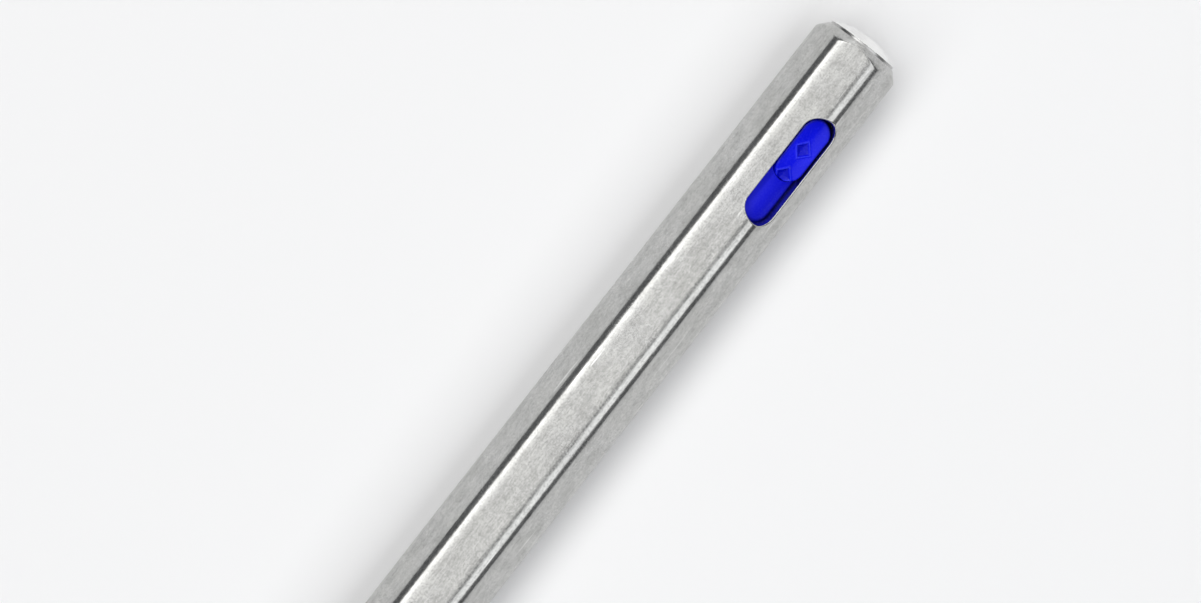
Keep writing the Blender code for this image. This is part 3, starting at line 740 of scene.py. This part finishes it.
# ------------------------------------------------------------------ return spring
def make_spring():
    wire, mean, turns, z0, z1 = 0.40, 2.25, 10, 27.05, 49.00
    per, around = 40, 14
    count = turns * per + 1
    free = z1 - z0 - wire - 0.06
    centre = []
    for n in range(count):
        t = n / (count - 1) * turns
        s = min(max((t - 0.9) / (turns - 1.8), 0.0), 1.0)
        dead = 0.46 * (min(t, 0.9) / 0.9 + max(t - (turns - 0.9), 0.0) / 0.9)
        z = z0 + 0.03 + wire / 2 + dead + s * (free - 0.92)
        a = 2 * math.pi * t
        centre.append(Vector((mean * math.cos(a), mean * math.sin(a), z)))
    bm = bmesh.new()
    rings = []
    for i, c in enumerate(centre):
        tangent = (centre[min(i + 1, count - 1)] - centre[max(i - 1, 0)]).normalized()
        radial = Vector((c.x, c.y, 0)).normalized()
        side = tangent.cross(radial).normalized()
        radial = side.cross(tangent).normalized()
        rings.append([bm.verts.new(c + radial * (wire / 2 * math.cos(2 * math.pi * k / around)) + side * (wire / 2 * math.sin(2 * math.pi * k / around))) for k in range(around)])
    for a, b in zip(rings, rings[1:]):
        for k in range(around):
            bm.faces.new((a[k], a[(k + 1) % around], b[(k + 1) % around], b[k]))
    bm.faces.new(rings[0][::-1])
    bm.faces.new(rings[-1])
    return obj_from_bm(bm, "spring_coil")


spring = make_spring()
dress(spring, "spring", "barrel", "return_spring", slot="spring_steel")
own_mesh(spring)

# ------------------------------------------------------------------ slider carriage
def make_carriage():
    ob = rod("slider_body", 3.45, 2.40, 27.0, 96, SLOTF)
    tools.objects.unlink(ob)
    visual.objects.link(ob)
    strip = rod("strip_tool", 3.98, 2.40, 24.8, 160, SLOTF)
    cut(strip, block("strip_width_tool", (0.5, 6.0), (-2.30, 2.30), (0, 40)), "INTERSECT")
    cut(ob, strip, "UNION")
    cut(ob, stadium("pocket_tool", 2.10, 9.15, 18.04, 1.60, 6.0, arc=60))
    cut(ob, block("ear_tool", (2.46, 6.0), (-4.4, 4.4), (9.15, 11.60)))
    cut(ob, block("tail_tool", (-5.0, 1.60), (-5.0, 5.0), (1.0, 8.0)))
    cut(ob, rod("socket_tool", 1.95, 20.8, 30, 64, SLOTF))
    cut(ob, cross_rod("pin_tool", 0.42, PIVOT_X, PIVOT_Z, 5))
    cleaned(ob)
    edge_break(ob, 0.10, segments=3)
    cleaned(ob, 0.0005)
    return ob


carriage = make_carriage()
dress(carriage, "slider", "slider", "slider_carriage", slot="slider_blue")

# ------------------------------------------------------------------ thumb button
DIAMONDS = (13.60, 17.35)
DZ, DY = 1.12, 1.15
B0, B1, BH, BB = 9.35, 17.97, 2.00, 3.00


def smooth01(t):
    t = min(max(t, 0.0), 1.0)
    return t * t * (3 - 2 * t)


def button_height(y, z):
    h = 4.15 + 0.30 * (abs(y) / BH) ** 1.6
    h += 0.15 * smooth01((12.4 - z) / 2.6)
    front = min(max((z - 16.4) / 1.55, 0.0), 1.0)
    h -= 0.22 * front * front
    for zc in DIAMONDS:
        u = abs(z - zc) / DZ + abs(y) / DY
        if u < 1:
            h -= 0.36 * min(1.0, (1 - u) * 1.5)
        h += 0.10 * math.exp(-(((u - 1.04) / 0.15) ** 2))
    return h


def make_button():
    """The thumb surface is a field of rings that follow the outline inwards, so its edge is truly round."""
    round_r = 0.30
    ds = [0.0, 0.006, 0.02, 0.045, 0.08, 0.12, 0.165, 0.22, 0.30]
    d = 0.30
    while d < BH - 0.05:
        d += 0.055
        ds.append(min(d, BH - 0.012))
    arc, straight = 60, 84
    bm = bmesh.new()
    rings = []
    bottom = [bm.verts.new((BB + 0.08, y * 1.0, z)) for y, z in stadium_points(BH, B0, B1, arc, straight)]
    foot = [bm.verts.new((BB, y, z)) for y, z in stadium_points(BH - 0.08, B0 + 0.08, B1 - 0.08, arc, straight)]
    rings.append(foot)
    rings.append(bottom)
    for d in ds:
        ring = []
        for y, z in stadium_points(BH - d, B0 + d, B1 - d, arc, straight):
            drop = 0.0
            if d < round_r:
                drop = round_r - math.sqrt(max(round_r ** 2 - (round_r - d) ** 2, 0.0))
            ring.append(bm.verts.new((button_height(y, z) - drop, y, z)))
        rings.append(ring)
    n = len(foot)
    for a, b in zip(rings, rings[1:]):
        for k in range(n):
            bm.faces.new((a[k], a[(k + 1) % n], b[(k + 1) % n], b[k]))
    # close the last ring, a narrow slit along the middle, with strips across
    last = rings[-1]
    def across(i):
        # the mirror point over the middle line
        return (arc - i) % n
    for i in range(0, arc // 2):
        a, b = last[i], last[i + 1]
        c, e = last[across(i + 1)], last[across(i)]
        vs = []
        for v in (a, b, c, e):
            if v not in vs:
                vs.append(v)
        if len(vs) > 2:
            bm.faces.new(vs)
    for i in range(straight):
        a, b = last[(n - i) % n], last[(n - i - 1) % n]
        e, c = last[arc + i], last[arc + i + 1]
        bm.faces.new((a, b, c, e))
    base = arc + straight
    for i in range(0, arc // 2):
        a, b = last[base + i], last[base + i + 1]
        c, e = last[base + arc - i - 1], last[base + arc - i]
        vs = []
        for v in (a, b, c, e):
            if v not in vs:
                vs.append(v)
        if len(vs) > 2:
            bm.faces.new(vs)
    bm.faces.new(foot[::-1])
    bmesh.ops.remove_doubles(bm, verts=bm.verts, dist=0.0005)
    ob = obj_from_bm(bm, "thumb_piece", SLOTF)
    cut(ob, block("leg_tool", (1.78, 3.4), (-1.2, 1.2), (15.75, 17.45), bevel=0.12), "UNION")
    cut(ob, block("ear_tool_2", (BB, 3.28), (-2.32, 2.32), (10.2, 11.3)), "UNION")
    cut(ob, cross_rod("leg_bore_tool", 0.45, PIVOT_X, PIVOT_Z, 5))
    cleaned(ob, 0.0005, smooth=50)
    return ob


button = make_button()
dress(button, "button", "button", "thumb_button", slot="button_blue")

pin = cross_rod("rocker_pin", 0.40, PIVOT_X, PIVOT_Z, 2.44, 64, coll=visual)
edge_break(pin, 0.06)
shade(pin)
dress(pin, "pin", "slider", "pivot_pin", slot="pin_steel")
grommet = turned("refill_socket_ring", fillet([(1.88, 26.85), (1.88, 21.6), (1.56, 21.6), (1.56, 26.85)], 0.10, True), 64)
dress(grommet, "grommet", "slider", "refill_grommet", slot="grommet_rubber")

# ------------------------------------------------------------------ refill
T = TIP_END
REFILL_Z0, REFILL_Z1, HOLDER_Z0 = 21.20, T - 17.0, T - 22.9
tube = turned("refill_body", fillet([(1.5, REFILL_Z1), (1.5, REFILL_Z0), (1.1, REFILL_Z0), (1.1, REFILL_Z1)], 0.06, True), 96)
dress(tube, "charcoal", "slider", "refill_tube", slot="refill_charcoal")
ink = turned("ink_fill", fillet([(0, REFILL_Z1 - 0.1), (1.05, REFILL_Z1 - 0.1), (1.05, 52.0), (0, 52.0)], 0.15, False), 64, closed=False)
dress(ink, "ink", "slider", "ink_column", slot="ink_blue")
grease = turned("grease_plug", fillet([(0, 51.9), (1.05, 51.9), (1.05, 47.5), (0, 47.5)], 0.3, False), 64, closed=False)
dress(grease, "grease", "slider", "ink_follower", slot="follower_grease")
holder = turned("refill_bell", fillet(
    [(1.30, T - 3.20), (1.45, T - 3.36), (1.72, T - 4.15), (1.89, T - 5.10), (2.16, T - 6.30), (2.43, T - 7.47),
     (2.62, T - 8.90), (2.68, T - 10.20), (2.62, T - 10.80), (2.46, T - 11.27), (2.11, T - 11.40),
     (2.11, HOLDER_Z0 + 0.15), (1.96, HOLDER_Z0), (1.56, HOLDER_Z0), (1.56, REFILL_Z1 + 0.1),
     (0.60, REFILL_Z1 + 0.7), (0.60, T - 6.90), (0.85, T - 6.75), (0.85, T - 3.20)], {"all": 0.10, 3: 3.0, 4: 3.0, 5: 2.0, 2: 2.0, 6: 1.2, 7: 0.8}, True), 96)
dress(holder, "holder", "slider", "tip_holder", slot="holder_blue")
tip = turned("writing_tip", fillet(
    [(0.375, T - 0.25), (0.46, T - 0.25), (0.50, T - 0.42), (0.68, T - 1.30), (0.95, T - 2.30), (0.95, T - 3.14),
     (0.80, T - 3.14), (0.80, T - 6.60), (0.25, T - 6.60), (0.25, T - 1.10), (0.42, T - 0.82), (0.42, T - 0.42)],
    {"all": 0.03, 3: 0.1, 4: 0.15}, True), 96)
dress(tip, "brass", "slider", "brass_tip", slot="tip_brass")
bm = bmesh.new()
bmesh.ops.create_icosphere(bm, subdivisions=4, radius=0.36, matrix=Matrix.Translation((0, 0, T - 0.36)))
ball = obj_from_bm(bm, "rolling_ball", smooth=180)
dress(ball, "ball", "ball", "tip_ball", slot="ball_carbide")

# ------------------------------------------------------------------ nose
F, N0 = NOSE_FRONT - 0.0004, 122.80
nose = turned("nose_shell", fillet(
    [(1.15, F), (1.56, F), (1.84, F - 0.34), (1.95, F - 1.00),
     (4.80, F - 13.35), (4.95, F - 14.10), (4.95, N0 + 0.20), (4.75, N0),
     (3.45, N0), (3.45, N0 - 6.10), (3.25, N0 - 6.30), (2.95, N0 - 6.30), (2.95, F - 6.70),
     (2.31, F - 4.10), (1.87, F - 1.95), (1.60, F - 0.90), (1.15, F - 0.75)],
    {"all": 0.04, 0: 0.06, 1: 0.20, 2: 0.6, 3: 2.0, 4: 1.6, 5: 1.2, 6: 0.08, 7: 0.08}, True, 6), 160)
dress(nose, "nose", "nose", "nose_cone", slot="nose_aluminium")
washer = turned("nose_gasket", fillet([(4.72, 122.75), (4.72, 122.45), (3.60, 122.45), (3.60, 122.75)], 0.08, True, 4), 128)
dress(washer, "washer", "nose_seat", "nose_washer", slot="washer_dark")

# ------------------------------------------------------------------ leaf spring
def make_leaf():
    """A thin strip, flat on the pocket's floor and then bowed up to the button's underside."""
    count, half, thick, floor_x = 56, 0.80, 0.07, 1.60
    line = []
    for k in range(count + 1):
        t = k / count
        lift = 0.0 if t < 0.25 else 1.10 * math.sin((t - 0.25) / 0.75 * math.pi / 2) ** 2
        line.append(Vector((floor_x + 0.12 + lift, 15.2 - 5.4 * t)))
    section = []
    for side in (1, -1):
        for k in range(7):
            a = math.radians(-90 + 180 * k / 6) if side > 0 else math.radians(90 + 180 * k / 6)
            section.append((side * (half - thick) + thick * math.cos(a), thick * math.sin(a)))
    bm = bmesh.new()
    rings = []
    for k, p in enumerate(line):
        d = (line[min(k + 1, count)] - line[max(k - 1, 0)]).normalized()
        up = Vector((-d.y, d.x))
        end = min(k, count - k) / 4
        share = 1.0 if end >= 1 else 0.80 + 0.20 * math.sqrt(1 - (1 - end) ** 2)
        rings.append([bm.verts.new((p.x + up.x * h, y * share, p.y + up.y * h)) for y, h in section])
    n = len(section)
    for a, b in zip(rings, rings[1:]):
        for k in range(n):
            bm.faces.new((a[k], a[(k + 1) % n], b[(k + 1) % n], b[k]))
    bm.faces.new(rings[0][::-1])
    bm.faces.new(rings[-1])
    return obj_from_bm(bm, "bowed_strip", SLOTF)


leaf = make_leaf()
dress(leaf, "leaf", "slider", "leaf_spring", slot="leaf_steel")
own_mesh(leaf)

# ------------------------------------------------------------------ stage
bpy.data.collections.remove(tools)

floor_mesh = bpy.data.meshes.new("table_top")
s = 1.6
floor_mesh.from_pydata([(-s, -s, 0), (s, -s, 0), (s, s, 0), (-s, s, 0)], [], [(0, 1, 2, 3)])
floor = bpy.data.objects.new("table_top", floor_mesh)
bpy.context.scene.collection.objects.link(floor)
floor.location.z = -0.00002
fm, nt, b = new_material("pale_table")
b.inputs["Base Color"].default_value = (0.875, 0.875, 0.88, 1)
b.inputs["Roughness"].default_value = 0.75
b.inputs["Specular IOR Level"].default_value = 0.2
floor.data.materials.append(fm)


def area(name, centre, target, size_x, size_y, power, colour=(1, 1, 1)):
    light = bpy.data.lights.new(name, "AREA")
    light.shape, light.size, light.size_y = "RECTANGLE", size_x, size_y
    light.energy, light.color = power, colour
    ob = bpy.data.objects.new(name, light)
    bpy.context.scene.collection.objects.link(ob)
    ob.location = centre
    z = (Vector(centre) - Vector(target)).normalized()
    x = Vector((1, 0, 0))
    y = z.cross(x).normalized()
    x = y.cross(z).normalized()
    ob.rotation_euler = Matrix((x, y, z)).transposed().to_euler()
    return ob


TARGET = (-0.01, 0, 0.005)


def overhead(name, angle, distance, width, length, power, colour=(1, 1, 1)):
    """A long soft light square to the pen, at an angle from straight up towards +Y."""
    a = math.radians(angle)
    area(name, (TARGET[0], distance * math.sin(a), distance * math.cos(a)), TARGET, length, width, power, colour)


# a soft box on the left in three panels, brightest at its outer edge
for label, near, far, level in (("outer", -37.0, -23.0, 0.98), ("middle", -23.0, -11.0, 0.82), ("inner", -11.0, 3.4, 0.54)):
    width = 2 * 1.05 * math.tan(math.radians((far - near) / 2))
    overhead("soft_left_" + label, (near + far) / 2, 1.05, width, 2.8, 7.7 * width * 2.8 * level, (1.0, 0.995, 0.985))
overhead("soft_right", 32.5, 1.05, 0.72, 2.4, 7.6, (0.985, 0.992, 1.0))

# a low, weak panel beyond the pen's rear end
area("soft_rear", (-1.25, -0.06, 0.20), (-0.07, 0, 0.006), 0.30, 0.9, 1.6, (1.0, 0.998, 0.99))

world = bpy.data.worlds.new("studio")
bpy.context.scene.world = world
world.use_nodes = True
world.node_tree.nodes["Background"].inputs["Color"].default_value = (0.90, 0.92, 0.95, 1)
world.node_tree.nodes["Background"].inputs["Strength"].default_value = 0.17

# ------------------------------------------------------------------ camera, at the photograph's angle
PX = 0.1186 * MM                       # size of a photo pixel at the pen
cam_data = bpy.data.cameras.new("camera")
cam = bpy.data.objects.new("camera", cam_data)
bpy.context.scene.collection.objects.link(cam)
right = Vector((-0.6149, 0.7886, 0)).normalized()
up = Vector((-0.7886, -0.6149, 0)).normalized()
back = right.cross(up)
# station 0 of the pen is seen at (858.85, 49.5) in the 1201 x 603 frame
zero = Vector((REAR_X * MM, 0, 0))
centre = zero + right * ((600.5 - 858.85) * PX) + up * (-(301.5 - 49.5) * PX)
distance = 0.90
cam.location = centre + back * (distance + 0.0053)
cam.rotation_euler = Matrix((right, up, back)).transposed().to_euler()
cam_data.sensor_width = 36.0
cam_data.lens = 36.0 * distance / (1201 * PX)
cam_data.clip_start, cam_data.clip_end = 0.01, 10
bpy.context.scene.camera = cam

bpy.context.scene.view_settings.view_transform = "Standard"
bpy.context.scene.view_settings.look = "None"
